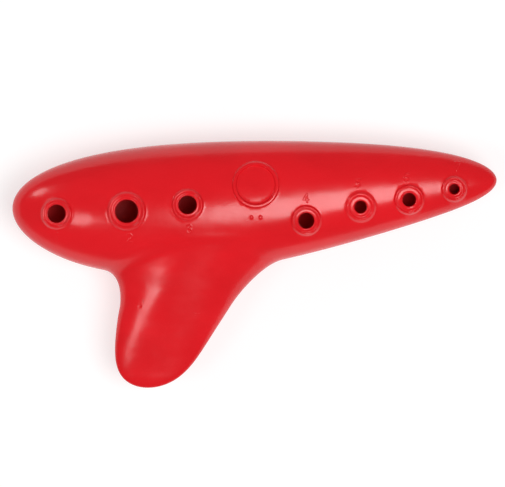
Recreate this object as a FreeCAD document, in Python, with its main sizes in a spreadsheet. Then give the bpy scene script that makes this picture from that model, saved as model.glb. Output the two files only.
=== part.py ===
import FreeCAD, Part
import math
import os

# Seven-hole ocarina with two thumb holes, lying on its back: finger holes up (+Z), +X towards
# the right-hand tip, mouthpiece towards -Y.  Origin: bottom centre of the bounding box.  All mm.

Vector = FreeCAD.Vector
Rotation = FreeCAD.Rotation
Placement = FreeCAD.Placement

document = FreeCAD.newDocument("ocarina")
sheet = document.addObject("Spreadsheet::Sheet", "sizes")

SIZES = {
    # torpedo-shaped body: length, and four swell / five bow values from left tip to right tip
    "body_length": 160.0,
    "swell_left": 52.3,
    "swell_mid_left": 49.7,
    "swell_mid_right": 32.2,
    "swell_right": 31.7,
    "bow_left": 18.5,
    "bow_mid_left": 15.7,
    "bow_middle": 17.9,
    "bow_mid_right": 26.7,
    "bow_right": 27.8,
    # mouthpiece: an egg that starts at the tip and closes inside the body
    "beak_tip_y": -40.8,
    "beak_reach": 50.0,
    "beak_swell_tip": 30.1,
    "beak_swell_near": 11.9,
    "beak_swell_far": 26.1,
    "beak_swell_end": 60.0,
    "beak_axis_tip": -35.2,
    "beak_axis_mid": -29.2,
    "beak_axis_end": -14.5,
    "blend_reach": 16.0,
    # depth of each half from the parting plane
    "depth_front": 15.9,
    "depth_back": 16.4,
    "end_flat": 0.06,
    # front of the mouthpiece: its crest climbs in a straight line from the tip to the body
    "crest_start": -36.0,
    "crest_height": 2.3,
    "crest_slope": 0.258,
    "crest_offset": 16.0,
    "crest_blend": 13.0,
    # back of the mouthpiece: flat at the tip, rising to the body
    "beak_flat_back": 9.5,
    "rise_back_start": -14.0,
    "rise_back_end": 20.0,
    # walls, and the locating pins along the seam
    "wall": 2.4,
    "tip_wall_left": 2.6,
    "tip_wall_right": 3.6,
    "pin_dia": 1.0,
    "pin_height": 1.5,
    "pin_inset": 1.1,
    "pin_gap": 0.05,
    # finger holes: centre, diameter, outer and inner diameter of the raised collar
    "hole1_x": -65.1, "hole1_y": 16.7, "hole1_dia": 5.9, "collar1_dia": 10.8, "dip1_dia": 7.2,
    "hole2_x": -42.0, "hole2_y": 17.5, "hole2_dia": 7.5, "collar2_dia": 13.2, "dip2_dia": 9.4,
    "hole3_x": -22.0, "hole3_y": 19.6, "hole3_dia": 5.9, "collar3_dia": 10.9, "dip3_dia": 7.3,
    "hole4_x": 17.0, "hole4_y": 14.4, "hole4_dia": 5.1, "collar4_dia": 10.4, "dip4_dia": 7.2,
    "hole5_x": 34.9, "hole5_y": 18.9, "hole5_dia": 4.0, "collar5_dia": 10.8, "dip5_dia": 7.2,
    "hole6_x": 50.9, "hole6_y": 21.3, "hole6_dia": 4.4, "collar6_dia": 10.2, "dip6_dia": 7.0,
    "hole7_x": 65.8, "hole7_y": 24.8, "hole7_dia": 3.3, "collar7_dia": 9.1, "dip7_dia": 6.0,
    "collar_rise": 0.8,
    "collar_round": 0.55,
    "rest_x": 0.4,
    "rest_y": 26.2,
    "rest_dia": 15.7,
    "rest_inner_dia": 12.3,
    # thumb holes in the back half
    "thumb1_x": -52.5,
    "thumb1_y": 16.0,
    "thumb1_dia": 8.5,
    "thumb2_x": 26.5,
    "thumb2_y": 19.5,
    "thumb2_dia": 9.5,
    # windway, window and labium, measured along the mouthpiece from its tip
    "windway_x": -34.3,
    "windway_turn": -5.0,
    "roof_drop": 0.5,
    "roof_slope": 0.1763,
    "mouth_width": 11.0,
    "mouth_height": 1.8,
    "flue_width": 9.5,
    "flue_height": 1.2,
    "window_start": 36.6,
    "window_length": 5.0,
    "lip_depth": 8.7,
    "lip_thickness": 0.5,
    "ramp_length": 16.0,
    "ramp_drop": 9.2,
    "pocket_width": 11.5,
    "pocket_end": 50.0,
    "pocket_slope": 0.364,
    "pocket_top": 5.0,
    # windway block and its recess
    "block_start": 16.0,
    "block_width": 13.0,
    "block_top_tip": 2.2,
    "block_top_root": 5.6,
    "block_gap": 0.1,
    "peg_dia": 3.0,
    "peg_height": 6.8,
    "peg_along": 29.0,
    "peg_across": 3.6,
    "core_width": 4.2,
    "core_floor": 1.6,
    "core_start": 18.0,
    "core_end": 24.5,
}

for row_number, (alias, value) in enumerate(SIZES.items(), start=1):
    sheet.set(f"A{row_number}", alias)
    sheet.set(f"B{row_number}", str(value))
    sheet.setAlias(f"B{row_number}", alias)
document.recompute()


def size(alias):
    return float(sheet.get(alias))


PARTING = size("depth_back")
HALF_LENGTH = size("body_length") / 2
SWELL = [size("swell_" + part) for part in ("left", "mid_left", "mid_right", "right")]
BOW = [size("bow_" + part) for part in ("left", "mid_left", "middle", "mid_right", "right")]
BEAK_SWELL = [size("beak_swell_" + part) for part in ("tip", "near", "far", "end")]
BEAK_AXIS = [size("beak_axis_" + part) for part in ("tip", "mid", "end")]
BODY_SCALE = 40.0
BEAK_SCALE = 32.0


# ---------------------------------------------------------------- outer form

def bezier(t, values):
    n = len(values) - 1
    return sum(math.comb(n, i) * v * t ** i * (1 - t) ** (n - i) for i, v in enumerate(values))


def body_axis(x):
    """Y of the body's bowed centre line."""
    return bezier((x + HALF_LENGTH) / (2 * HALF_LENGTH), BOW)


def body_half_width(x):
    t = min(max((x + HALF_LENGTH) / (2 * HALF_LENGTH), 0.0), 1.0)
    return math.sqrt(t * (1 - t)) * bezier(t, SWELL)


def body_field(x, y):
    """Positive inside the body outline, zero on it."""
    t = (x + HALF_LENGTH) / (2 * HALF_LENGTH)
    return (t * (1 - t) * bezier(t, SWELL) ** 2 - (y - body_axis(x)) ** 2) / BODY_SCALE


def beak_field(x, y):
    """Positive inside the mouthpiece outline, zero on it."""
    along = y - size_beak_tip
    t = along / size_beak_reach
    width_squared = along * (1 - t) * bezier(t, BEAK_SWELL)
    return (width_squared - (x - bezier(t, BEAK_AXIS)) ** 2) / BEAK_SCALE


size_beak_tip = size("beak_tip_y")
size_beak_reach = size("beak_reach")
BLEND = size("blend_reach")


def ease(t):
    t = min(max(t, 0.0), 1.0)
    return t * t * (3 - 2 * t)


def field(x, y):
    """Body and mouthpiece joined with a rounded inner corner."""
    body = body_field(x, y)
    beak = beak_field(x, y)
    overlap = max(BLEND - abs(body - beak), 0.0) / BLEND
    return max(body, beak) + overlap * overlap * BLEND / 4


FIELD_PEAK = max(field(x, body_axis(x)) for x in range(-50, 30))


def back_level(x, y):
    """Height squared of the back: flat at the mouthpiece, full over the body."""
    full = size("depth_back") ** 2 / FIELD_PEAK
    flat = size("beak_flat_back")
    start = size("rise_back_start")
    rise = ease((y - start) / (size("rise_back_end") - start))
    return field(x, y) * (flat + (full - flat) * rise)


def front_level(x, y):
    """Height squared of the front: full over the body, a straight ramp along the mouthpiece."""
    full = size("depth_front") ** 2 / FIELD_PEAK
    start = size("crest_start")
    along = min(max(y, start), size_beak_tip + size_beak_reach)
    axis = bezier((along - size_beak_tip) / size_beak_reach, BEAK_AXIS)
    crest = size("crest_height") + size("crest_slope") * (along - start)
    ramp = crest ** 2 / field(axis, along)
    ahead = beak_field(x, y) - body_field(x, y) + size("crest_offset")
    beak_share = ease(ahead / size("crest_blend"))
    return field(x, y) * (full + (ramp - full) * beak_share)


def half_height(x, y, side):
    level = front_level(x, y) if side > 0 else back_level(x, y)
    return math.sqrt(max(level, 0.0))


def crossing(inside_test, start, end):
    """Point between start (inside) and end (outside) where the outline is crossed."""
    for _ in range(48):
        middle = (start + end) / 2
        if inside_test(middle) > 0:
            start = middle
        else:
            end = middle
    return (start + end) / 2


def highest_point():
    """Topmost point of the outline, by narrowing an interval of x."""
    low, high = -20.0, 40.0
    for _ in range(60):
        left = low + (high - low) / 3
        right = high - (high - low) / 3
        edge_left = crossing(lambda y: field(left, y), 20, 60)
        edge_right = crossing(lambda y: field(right, y), 20, 60)
        if edge_left > edge_right:
            high = right
        else:
            low = left
    return low, crossing(lambda y: field(low, y), 20, 60)


TOP = highest_point()
TIP = (BEAK_AXIS[0], size("beak_tip_y"))


def outline_at(y):
    """(y, left x, right x) of the outline at one height."""
    rise = max(y - 10.0, 0.0) / (TOP[1] - 10.0)
    middle = TIP[0] + (TOP[0] - TIP[0]) * rise
    left = crossing(lambda x: field(x, y), middle, -90)
    right = crossing(lambda x: field(x, y), middle, 90)
    return y, left, right


def outline_rows(count):
    """Rows spaced evenly along the outline, ending at a tiny flat at the top and at the tip."""
    flat = size("end_flat")
    high = TOP[1] - flat
    low = TIP[1] + flat
    steps = 360
    fine = []
    for i in range(steps + 1):
        swing = math.cos(math.pi * i / steps)
        fine.append(outline_at((high + low) / 2 + (high - low) / 2 * swing))
    travel = [0.0]
    for a, b in zip(fine, fine[1:]):
        fall = b[0] - a[0]
        travel.append(travel[-1] + math.hypot(fall, b[1] - a[1]) + math.hypot(fall, b[2] - a[2]))
    rows = [fine[0]]
    k = 0
    for i in range(1, count):
        goal = travel[-1] * i / count
        while travel[k + 1] < goal:
            k += 1
        share = (goal - travel[k]) / (travel[k + 1] - travel[k])
        rows.append(outline_at(fine[k][0] + share * (fine[k + 1][0] - fine[k][0])))
    rows.append(fine[-1])
    return rows


ROWS = outline_rows(44)


def solid_from_grid(grid):
    """Closed solid from an interpolated skin, two flat ends and the flat face under it."""
    skin = Part.BSplineSurface()
    skin.interpolate(grid)
    skin_face = skin.toShape()
    corners = [grid[0][0], grid[0][-1], grid[-1][0], grid[-1][-1]]
    base_lines = [Part.makeLine(corners[0], corners[1]), Part.makeLine(corners[2], corners[3])]
    rim, ends = [], []
    for edge in skin_face.Edges:
        flat = edge.BoundBox.ZLength < 1e-6
        (rim if flat else ends).append(edge)
    faces = [skin_face, Part.Face(Part.Wire(Part.__sortEdges__(rim + base_lines)))]
    for line in base_lines:
        near = min(ends, key=lambda edge: (edge.BoundBox.Center - line.BoundBox.Center).Length)
        faces.append(Part.Face(Part.Wire([near, line])))
    shell = Part.makeShell(faces)
    shell.sewShape()
    solid = Part.makeSolid(shell)
    if solid.Volume < 0:
        solid.reverse()
    return solid


def outer_half(side):
    """Half of the outer form on one side of the parting plane."""
    columns = 16
    grid = []
    for y, left, right in ROWS:
        line = []
        for j in range(columns + 1):
            x = (left + right) / 2 - (right - left) / 2 * math.cos(math.pi * j / columns)
            z = 0.0 if j in (0, columns) else side * half_height(x, y, side)
            line.append(Vector(x, y, z))
        grid.append(line)
    return solid_from_grid(grid)


def chamber_half(side):
    """Half of the sound chamber: the body form thinned by the wall."""
    wall = size("wall")
    start = -HALF_LENGTH + size("tip_wall_left")
    end = HALF_LENGTH - size("tip_wall_right")
    widest = max(body_half_width(x) for x in range(-50, 30))
    depth = size("depth_front") if side > 0 else size("depth_back")
    depth_share = (depth - wall) / (widest - wall)
    rows, columns = 18, 10
    flat = size("end_flat")
    grid = []
    for i in range(rows + 1):
        x = (start + end) / 2 - ((end - start) / 2 - flat) * math.cos(math.pi * i / rows)
        t = (x - start) / (end - start)
        swell = bezier((x + HALF_LENGTH) / (2 * HALF_LENGTH), SWELL) - 2 * wall
        half_width = math.sqrt(t * (1 - t)) * swell
        line = []
        for j in range(columns + 1):
            turn = math.pi * j / columns
            rise = math.sin(turn) if 0 < j < columns else 0.0
            y = body_axis(x) - half_width * math.cos(turn)
            line.append(Vector(x, y, side * half_width * depth_share * rise))
        grid.append(line)
    return solid_from_grid(grid)


def inward(x, y):
    """Unit direction from the outline into the form, in the parting plane."""
    step = 0.01
    slope_x = field(x + step, y) - field(x - step, y)
    slope_y = field(x, y + step) - field(x, y - step)
    return Vector(slope_x, slope_y, 0).normalize()


def seam_points():
    """Places for the locating pins, inside the wall along the seam."""
    points = []
    for y in (32.0, 16.0, 4.0, -10.0):
        for x in outline_at(y)[1:]:
            points.append(Vector(x, y, 0) + inward(x, y) * size("pin_inset"))
    return points


def collar(raised, x, y, outer_dia, inner_dia, base):
    """Raised ring that follows the surface, with a rounded crest."""
    bottom = half_height(x, y, 1) - base
    axis = Vector(0, 0, 1)
    outer = Part.makeCylinder(outer_dia / 2, 2 * base, Vector(x, y, bottom), axis)
    inner = Part.makeCylinder(inner_dia / 2, 2 * base, Vector(x, y, bottom), axis)
    ring = outer.cut(inner).common(raised)
    crest = [edge for edge in ring.Edges if edge.BoundBox.ZMin > bottom + 0.2]
    crest = [edge for edge in crest if edge.BoundBox.XLength > 0.6 * inner_dia]
    return ring.makeFillet(size("collar_round"), crest)


# ---------------------------------------------------------------- document helpers

def add_shape(name, shape, lift=True):
    """Free-form shape as a document object, lifted from the parting plane to its real height."""
    feature = document.addObject("Part::Feature", name)
    feature.Shape = shape
    if lift:
        feature.Placement = Placement(Vector(0, 0, PARTING), Rotation())
    return feature


def bind(feature, **formulas):
    for name, formula in formulas.items():
        feature.setExpression(name.replace("__", "."), formula)
    return feature


def in_windway_frame(feature):
    """Place a feature on the mouthpiece tip, turned to run along the windway."""
    feature.Placement = Placement(Vector(0, 0, 0), Rotation(Vector(0, 0, 1), 1))
    bind(
        feature,
        Placement__Base__x="sizes.windway_x",
        Placement__Base__y="sizes.beak_tip_y",
        Placement__Base__z="sizes.depth_back",
        Placement__Rotation__Angle="sizes.windway_turn",
    )
    return feature


def wedge(name, **formulas):
    feature = document.addObject("Part::Wedge", name)
    bind(feature, **formulas)
    return in_windway_frame(feature)


def upright_cylinder(name, dia, x, y, z, height):
    feature = document.addObject("Part::Cylinder", name)
    return bind(
        feature,
        Radius=f"({dia}) / 2",
        Height=height,
        Placement__Base__x=x,
        Placement__Base__y=y,
        Placement__Base__z=z,
    )


def fuse(name, parts):
    feature = document.addObject("Part::MultiFuse", name)
    feature.Shapes = parts
    return feature


def cut_in_turn(name, base, tools):
    """Take the tools away one after another; the last cut carries the name."""
    for tool in tools:
        last = tool is tools[-1]
        feature = document.addObject("Part::Cut", name if last else f"{name}_less_{tool.Name}")
        feature.Base = base
        feature.Tool = tool
        base = feature
    return base


# ---------------------------------------------------------------- shared cuts

def make_recess():
    """Space for the windway block, half in each shell."""
    roof_start = "-(sizes.roof_drop + sizes.roof_slope * sizes.block_start)"
    roof_end = "-(sizes.roof_drop + sizes.roof_slope * sizes.window_start)"
    side = "sizes.block_width / 2 + sizes.block_gap"
    return wedge(
        "block_recess",
        Xmin=f"-({side})", Xmax=side, X2min=f"-({side})", X2max=side,
        Ymin="sizes.block_start - sizes.block_gap", Ymax="sizes.window_start",
        Zmin=roof_start, Zmax="sizes.block_top_tip + sizes.block_gap",
        Z2min=roof_end, Z2max="sizes.block_top_root + sizes.block_gap",
    )


def make_voicing_pocket():
    """Opens the chamber towards the window above the labium."""
    lip = "sizes.lip_depth - sizes.lip_thickness"
    return wedge(
        "voicing_pocket",
        Xmin="-sizes.pocket_width / 2", Xmax="sizes.pocket_width / 2",
        X2min="-sizes.pocket_width / 2", X2max="sizes.pocket_width / 2",
        Ymin="sizes.window_start", Ymax="sizes.pocket_end",
        Zmin=f"-({lip}) + sizes.window_length * sizes.pocket_slope",
        Zmax="sizes.pocket_top",
        Z2min=f"-({lip}) - (sizes.pocket_end - sizes.window_start - sizes.window_length)"
              " * sizes.pocket_slope",
        Z2max="sizes.pocket_top",
    )


# ---------------------------------------------------------------- front shell

def finger_hole_tools():
    tools = []
    for number in range(1, 8):
        tools.append(upright_cylinder(
            f"finger_hole_{number}", f"sizes.hole{number}_dia",
            f"sizes.hole{number}_x", f"sizes.hole{number}_y", "sizes.depth_back + 2", "30",
        ))
    return tools


def make_collars():
    raised = outer_half(1)
    raised.translate(Vector(0, 0, size("collar_rise")))
    rings = []
    for number in range(1, 8):
        ring = collar(
            raised, size(f"hole{number}_x"), size(f"hole{number}_y"),
            size(f"collar{number}_dia"), size(f"dip{number}_dia"), 5.0,
        )
        rings.append(add_shape(f"collar_{number}", ring))
    rest = collar(
        raised, size("rest_x"), size("rest_y"), size("rest_dia"), size("rest_inner_dia"), 7.0,
    )
    rings.append(add_shape("finger_rest", rest))
    return rings


def peg_hole_tools():
    tools = []
    for number, sign in ((1, "-"), (2, "")):
        hole = document.addObject("Part::Cylinder", f"peg_hole_{number}")
        bind(
            hole,
            Radius="sizes.peg_dia / 2 + sizes.block_gap",
            Height="sizes.peg_height + 3 * sizes.block_gap",
        )
        across = f"({sign}sizes.peg_across)"
        turn = "sizes.windway_turn * 1 deg"
        bind(
            hole,
            Placement__Base__x=f"sizes.windway_x + {across} * cos({turn})"
                               f" - sizes.peg_along * sin({turn})",
            Placement__Base__y=f"sizes.beak_tip_y + {across} * sin({turn})"
                               f" + sizes.peg_along * cos({turn})",
            Placement__Base__z="sizes.depth_back",
        )
        tools.append(hole)
    return tools


def make_front_shell(recess, pocket):
    form = add_shape("front_form", outer_half(1))
    raised = fuse("front_with_collars", [form] + make_collars())
    tools = [add_shape("chamber_front", chamber_half(1)), recess, pocket]
    tools += finger_hole_tools() + peg_hole_tools()
    for number, point in enumerate(seam_points(), start=1):
        tools.append(upright_cylinder(
            f"pin_hole_{number}", "sizes.pin_dia + 2 * sizes.pin_gap", f"{point.x:.3f}",
            f"{point.y:.3f}", "sizes.depth_back - 1", "sizes.pin_height + 1 + sizes.pin_gap",
        ))
    return cut_in_turn("front_shell", raised, tools)


# ---------------------------------------------------------------- back shell

def make_windway():
    """Flat tapering air channel from the mouthpiece tip to the window."""
    lead = "3"
    start = f"-(sizes.roof_drop - sizes.roof_slope * {lead})"
    end = "-(sizes.roof_drop + sizes.roof_slope * sizes.window_start)"
    return wedge(
        "windway",
        Xmin="-sizes.mouth_width / 2", Xmax="sizes.mouth_width / 2",
        X2min="-sizes.flue_width / 2", X2max="sizes.flue_width / 2",
        Ymin=f"-{lead}", Ymax="sizes.window_start",
        Zmin=f"{start} - sizes.mouth_height", Zmax=start,
        Z2min=f"{end} - sizes.flue_height", Z2max=end,
    )


def make_window():
    return wedge(
        "window",
        Xmin="-sizes.flue_width / 2", Xmax="sizes.flue_width / 2",
        X2min="-sizes.flue_width / 2", X2max="sizes.flue_width / 2",
        Ymin="sizes.window_start", Ymax="sizes.window_start + sizes.window_length",
        Zmin="-sizes.depth_back - 1", Zmax="-sizes.lip_depth / 2",
        Z2min="-sizes.depth_back - 1", Z2max="-sizes.lip_depth / 2",
    )


def make_labium_ramp():
    return wedge(
        "labium_ramp",
        Xmin="-sizes.flue_width / 2", Xmax="sizes.flue_width / 2",
        X2min="-sizes.flue_width / 2", X2max="sizes.flue_width / 2",
        Ymin="sizes.window_start + sizes.window_length",
        Ymax="sizes.window_start + sizes.window_length + sizes.ramp_length",
        Zmin="-sizes.depth_back - 4", Zmax="-sizes.lip_depth",
        Z2min="-sizes.depth_back - 4", Z2max="-sizes.lip_depth - sizes.ramp_drop",
    )


def make_back_shell(recess, pocket):
    form = add_shape("back_form", outer_half(-1))
    pins = []
    for number, point in enumerate(seam_points(), start=1):
        pins.append(upright_cylinder(
            f"seam_pin_{number}", "sizes.pin_dia", f"{point.x:.3f}",
            f"{point.y:.3f}", "sizes.depth_back - 1", "sizes.pin_height + 1",
        ))
    base = fuse("back_with_pins", [form] + pins)
    tools = [add_shape("chamber_back", chamber_half(-1)), recess, pocket]
    tools += [make_windway(), make_window(), make_labium_ramp()]
    for number in (1, 2):
        tools.append(upright_cylinder(
            f"thumb_hole_{number}", f"sizes.thumb{number}_dia",
            f"sizes.thumb{number}_x", f"sizes.thumb{number}_y", "-1", "sizes.depth_back - 1",
        ))
    return cut_in_turn("back_shell", base, tools)


# ---------------------------------------------------------------- windway block

def local_box(name, start_x, start_y, start_z, **formulas):
    """Box given in windway coordinates: across, along, up from the parting plane."""
    box = document.addObject("Part::Wedge", name)
    width, length, height = formulas["width"], formulas["length"], formulas["height"]
    bind(
        box,
        Xmin=start_x, X2min=start_x,
        Xmax=f"{start_x} + {width}", X2max=f"{start_x} + {width}",
        Ymin=start_y, Ymax=f"{start_y} + {length}",
        Zmin=start_z, Z2min=start_z,
        Zmax=f"{start_z} + {height}", Z2max=f"{start_z} + {height}",
    )
    return in_windway_frame(box)


def make_block():
    """Wedge that roofs the windway, cored from above, with two locating pegs."""
    gap = "sizes.block_gap"
    start = "sizes.block_start"
    end = "sizes.window_start"
    blank = wedge(
        "block_blank",
        Xmin="-sizes.block_width / 2", Xmax="sizes.block_width / 2",
        X2min="-sizes.block_width / 2", X2max="sizes.block_width / 2",
        Ymin=start, Ymax=f"{end} - {gap} / 2",
        Zmin=f"-(sizes.roof_drop + sizes.roof_slope * {start}) + {gap} / 2",
        Zmax="sizes.block_top_tip",
        Z2min=f"-(sizes.roof_drop + sizes.roof_slope * {end}) + {gap} / 2",
        Z2max="sizes.block_top_root",
    )
    cores = []
    for number, start_x in ((1, "-sizes.core_width - 0.9"), (2, "0.9")):
        cores.append(local_box(
            f"core_{number}", start_x, "sizes.core_start", "-sizes.core_floor",
            width="sizes.core_width", length="sizes.core_end - sizes.core_start", height="20",
        ))
    pegs = []
    for number, sign in ((1, "-"), (2, "")):
        peg = document.addObject("Part::Cylinder", f"peg_{number}")
        across = f"({sign}sizes.peg_across)"
        turn = "sizes.windway_turn * 1 deg"
        bind(
            peg,
            Radius="sizes.peg_dia / 2",
            Height="sizes.peg_height",
            Placement__Base__x=f"sizes.windway_x + {across} * cos({turn})"
                               f" - sizes.peg_along * sin({turn})",
            Placement__Base__y=f"sizes.beak_tip_y + {across} * sin({turn})"
                               f" + sizes.peg_along * cos({turn})",
            Placement__Base__z="sizes.depth_back",
        )
        pegs.append(peg)
    pegged = fuse("block_with_pegs", [blank] + pegs)
    return cut_in_turn("windway_block", pegged, cores)


# ---------------------------------------------------------------- build and write

def check(node):
    shape = node.Shape
    if shape.isNull() or not shape.isValid() or len(shape.Solids) != 1:
        raise RuntimeError(f"{node.Name}: bad shape, {len(shape.Solids)} solids")


recess_cut = make_recess()
pocket_cut = make_voicing_pocket()
nodes = [
    make_front_shell(recess_cut, pocket_cut),
    make_back_shell(recess_cut, pocket_cut),
    make_block(),
]
document.recompute()

for item in document.Objects:
    if "Invalid" in item.State or "Error" in item.State:
        raise RuntimeError(f"{item.Name}: {item.State}")

os.makedirs("parts", exist_ok=True)
for node in nodes:
    check(node)
    node.Shape.exportStep(f"parts/{node.Name}.step")
    print(node.Name, f"{node.Shape.Volume / 1000:.2f} cm3", node.Shape.BoundBox)
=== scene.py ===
import math
from collections import defaultdict, namedtuple

import bmesh
import bpy
import numpy as np
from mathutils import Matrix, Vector
from mathutils.geometry import delaunay_2d_cdt


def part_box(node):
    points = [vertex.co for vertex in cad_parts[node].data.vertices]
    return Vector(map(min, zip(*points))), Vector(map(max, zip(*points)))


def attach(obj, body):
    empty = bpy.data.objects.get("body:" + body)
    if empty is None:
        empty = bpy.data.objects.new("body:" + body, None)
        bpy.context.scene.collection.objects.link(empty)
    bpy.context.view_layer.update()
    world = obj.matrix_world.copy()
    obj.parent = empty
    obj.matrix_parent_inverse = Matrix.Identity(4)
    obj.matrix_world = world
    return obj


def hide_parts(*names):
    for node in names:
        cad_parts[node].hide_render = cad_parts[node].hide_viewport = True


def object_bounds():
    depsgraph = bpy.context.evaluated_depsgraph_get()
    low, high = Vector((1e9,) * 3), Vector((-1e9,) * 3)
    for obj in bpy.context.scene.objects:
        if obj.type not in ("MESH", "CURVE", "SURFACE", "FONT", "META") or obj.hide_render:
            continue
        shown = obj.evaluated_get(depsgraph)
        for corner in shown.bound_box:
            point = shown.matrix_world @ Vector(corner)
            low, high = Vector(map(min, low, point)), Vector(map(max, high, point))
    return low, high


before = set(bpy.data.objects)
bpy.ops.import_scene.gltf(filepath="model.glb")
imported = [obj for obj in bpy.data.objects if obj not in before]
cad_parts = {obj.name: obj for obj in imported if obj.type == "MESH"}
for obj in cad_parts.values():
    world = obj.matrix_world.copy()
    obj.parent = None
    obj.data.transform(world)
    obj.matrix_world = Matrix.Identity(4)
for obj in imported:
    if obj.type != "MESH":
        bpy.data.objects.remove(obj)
cad_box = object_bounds()

# The two shells are rebuilt here at a finer resolution from the same outline formulas as the
# solids.  Work is in millimetres: x and y as in the frame, h = distance from the parting plane.
MM = 0.001
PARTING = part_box("front_shell")[0].z / MM
FRONT, BACK = 1, -1

# Body: swell and bow of the torpedo shape from the left tip to the right tip
HALF_LENGTH = 80.0
SWELL = (52.3, 49.7, 32.2, 31.7)
BOW = (18.5, 15.7, 17.9, 26.7, 27.8)
# Mouthpiece: an egg that starts at the tip and closes inside the body, and the corner between them
BEAK_TIP, BEAK_REACH = -40.8, 50.0
BEAK_SWELL = (30.1, 11.9, 26.1, 60.0)
BEAK_AXIS = (-35.2, -29.2, -14.5)
BLEND = 16.0
# Depth of each half, the straight crest of the mouthpiece's front, and the rise of its flat back
DEPTH = {FRONT: 15.9, BACK: 16.4}
CREST_START, CREST_HEIGHT, CREST_SLOPE = -36.0, 2.3, 0.258
CREST_OFFSET, CREST_BLEND = 16.0, 13.0
BACK_FLAT, BACK_RISE_START, BACK_RISE_END = 9.5, -14.0, 20.0
WALL, TIP_WALL_LEFT, TIP_WALL_RIGHT = 2.4, 2.6, 3.6
# Divisors that bring the two outline fields to like sizes before they are joined
BODY_SCALE, BEAK_SCALE = 40.0, 32.0

# x, y, then the hole, lip, dip, crest and foot radii of each finger hole's collar
FINGER_HOLES = (
    (-65.1, 16.7, 2.95, 3.20, 3.65, 4.55, 5.40),
    (-42.0, 17.5, 3.75, 4.15, 4.70, 5.65, 6.60),
    (-22.0, 19.6, 2.95, 3.25, 3.65, 4.60, 5.45),
    (17.0, 14.4, 2.55, 3.10, 3.60, 4.45, 5.20),
    (34.9, 18.9, 2.00, 2.60, 3.20, 4.20, 5.40),
    (50.9, 21.3, 2.20, 3.30, 3.70, 4.45, 5.15),
    (65.8, 24.8, 1.65, 2.30, 2.80, 3.65, 4.50),
)
# x, y, inner and outer radius of the finger-rest ring; x, y and radius of the thumb holes
REST = (0.4, 26.2, 6.15, 7.85)
THUMB_HOLES = ((-52.5, 16.0, 4.25), (26.5, 19.5, 4.75))

# Centre of each moulded finger number, the two dots and the small sink mark
NUMBER_PLACES = ((-64.9, 8.9), (-41.1, 8.7), (-21.5, 11.8), (16.9, 21.8), (33.9, 26.5), (49.9, 28.5),
                 (66.8, 32.4))
NUMBER_HEIGHT, STROKE, STROKE_SLOPE = 2.8, 0.12, 0.20
NUMBER_RISES = (0.06, 0.07, 0.22, 0.28, 0.24, 0.20, 0.16)
DOTS, DOT_RADIUS, DOT_SLOPE, DOT_RISE = ((-1.0, 15.5), (2.0, 15.5)), 0.22, 0.50, 0.32
SINK_MARK, SINK_RADIUS, SINK_SLOPE, SINK_DEPTH = (-37.7, -13.7), 0.22, 0.35, 0.30


# ------------------------------------------------------------------ outer form

def bezier(t, values):
    n = len(values) - 1
    return sum(math.comb(n, i) * v * t**i * (1 - t) ** (n - i) for i, v in enumerate(values))


def body_share(x):
    return (np.asarray(x, float) + HALF_LENGTH) / (2 * HALF_LENGTH)


def body_axis(x):
    return bezier(body_share(x), BOW)


def ease(t):
    t = np.clip(t, 0.0, 1.0)
    return t * t * (3 - 2 * t)


def body_field(x, y):
    t = body_share(x)
    return (t * (1 - t) * bezier(t, SWELL) ** 2 - (y - body_axis(x)) ** 2) / BODY_SCALE


def beak_field(x, y):
    q = (np.asarray(y, float) - BEAK_TIP) / BEAK_REACH
    width_squared = BEAK_REACH * q * (1 - q) * bezier(q, BEAK_SWELL)
    return (width_squared - (x - bezier(q, BEAK_AXIS)) ** 2) / BEAK_SCALE


def field(x, y):
    """Positive inside the outline: body and mouthpiece with a rounded inner corner."""
    body, beak = body_field(x, y), beak_field(x, y)
    overlap = np.maximum(BLEND - abs(body - beak), 0.0) / BLEND
    return np.maximum(body, beak) + overlap * overlap * BLEND / 4


FIELD_PEAK = max(float(field(x, body_axis(x))) for x in range(-50, 30))


def back_level(x, y):
    """Height squared of the back: flat at the mouthpiece, full over the body."""
    full = DEPTH[BACK] ** 2 / FIELD_PEAK
    rise = ease((np.asarray(y, float) - BACK_RISE_START) / (BACK_RISE_END - BACK_RISE_START))
    return field(x, y) * (BACK_FLAT + (full - BACK_FLAT) * rise)


def front_level(x, y):
    """Height squared of the front: full over the body, a straight ramp along the mouthpiece."""
    full = DEPTH[FRONT] ** 2 / FIELD_PEAK
    along = np.clip(y, CREST_START, BEAK_TIP + BEAK_REACH)
    axis = bezier((along - BEAK_TIP) / BEAK_REACH, BEAK_AXIS)
    crest = CREST_HEIGHT + CREST_SLOPE * (along - CREST_START)
    ramp = crest**2 / field(axis, along)
    beak_share = ease((beak_field(x, y) - body_field(x, y) + CREST_OFFSET) / CREST_BLEND)
    return field(x, y) * (full + (ramp - full) * beak_share)


def form_height(x, y, side):
    level = front_level(x, y) if side == FRONT else back_level(x, y)
    return np.sqrt(np.maximum(level, 0.0))


def arc(cx, cy, radius, start, end, tall=1.0):
    turns = np.radians(np.linspace(start, end, 13))
    return [(cx + radius * math.cos(a), cy + tall * radius * math.sin(a)) for a in turns]


def number_strokes():
    """Lines and arcs of the figures 1 to 7, in units of their height."""
    return (
        [(-0.16, 0.30), (0.04, 0.5), (0.04, -0.5)],
        arc(0.0, 0.22, 0.28, 165, -35) + [(-0.28, -0.5), (0.30, -0.5)],
        arc(0.0, 0.24, 0.26, 150, -85) + arc(0.0, -0.24, 0.28, 88, -150, 0.93),
        [(0.13, -0.5), (0.13, 0.5), (-0.30, -0.20), (0.32, -0.20)],
        [(0.25, 0.5), (-0.19, 0.5), (-0.23, 0.06)] + arc(-0.01, -0.19, 0.30, 128, -145),
        arc(0.30, -0.14, 0.58, 92, 178, 1.12) + arc(0.0, -0.22, 0.28, 180, -180),
        [(-0.28, 0.5), (0.28, 0.5), (-0.08, -0.5)],
    )


Mark = namedtuple("Mark", "centre starts ends half_width slope rise")


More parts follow.
